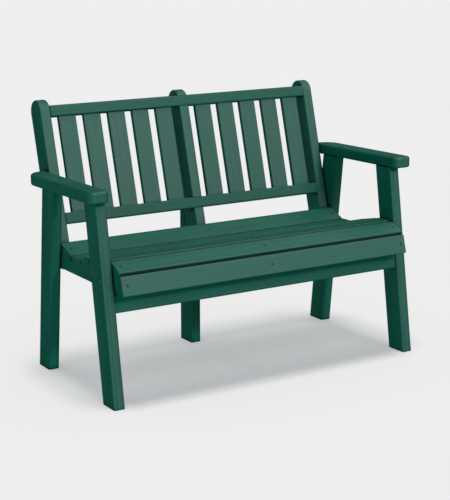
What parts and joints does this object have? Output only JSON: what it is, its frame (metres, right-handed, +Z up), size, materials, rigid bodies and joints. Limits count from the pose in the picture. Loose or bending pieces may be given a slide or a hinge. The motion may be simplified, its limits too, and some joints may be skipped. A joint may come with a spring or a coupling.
{
  "type": "garden bench",
  "caption": "Two-seat garden bench of green boards with splayed legs, flat armrests, a scooped slatted seat and a leaning slatted back.",
  "frame": {"origin": "on the floor, under the middle of the bench's length and depth", "axes": "+X along the bench to the right as seen from in front, +Y from the front to the back, +Z up"},
  "size_m": [1.356, 0.7243, 0.9944],
  "materials": {
    "leg_board": "green exterior paint, satin",
    "armrest_board": "green exterior paint, satin",
    "frame_board": "green exterior paint, satin",
    "rail_board": "green exterior paint, satin",
    "back_slat_board": "green exterior paint, satin",
    "seat_slat_board": "green exterior paint, satin",
    "screw_steel": "dark coated",
    "bolt_steel": "galvanised, the heads painted over in green",
    "dowel_wood": "bare hardwood, glued"
  },
  "bodies": {
    "root": {"armrest_dowels": "dowel_wood", "back_slat_01": "back_slat_board", "back_slat_02": "back_slat_board", "back_slat_03": "back_slat_board", "back_slat_04": "back_slat_board", "back_slat_05": "back_slat_board", "back_slat_06": "back_slat_board", "back_slat_07": "back_slat_board", "back_slat_08": "back_slat_board", "back_slat_09": "back_slat_board", "back_slat_10": "back_slat_board", "bottom_back_rail": "rail_board", "centre_back_post": "frame_board", "centre_leg_screws": "screw_steel", "centre_rear_leg": "leg_board", "centre_seat_support": "frame_board", "frame_bolts": "bolt_steel", "frame_nuts": "bolt_steel", "front_stretcher": "frame_board", "left_armrest": "armrest_board", "left_back_post": "frame_board", "left_front_leg": "leg_board", "left_rear_leg": "leg_board", "left_seat_support": "frame_board", "nose_board_screws": "screw_steel", "rail_screws": "screw_steel", "right_armrest": "armrest_board", "right_back_post": "frame_board", "right_front_leg": "leg_board", "right_rear_leg": "leg_board", "right_seat_support": "frame_board", "seat_nose_board": "seat_slat_board", "seat_screws": "screw_steel", "seat_slat_1": "seat_slat_board", "seat_slat_2": "seat_slat_board", "seat_slat_3": "seat_slat_board", "seat_slat_4": "seat_slat_board", "seat_slat_5": "seat_slat_board", "seat_slat_6": "seat_slat_board", "stretcher_screws": "screw_steel", "support_screws": "screw_steel", "top_back_rail": "rail_board"}
  },
  "joints": []
}
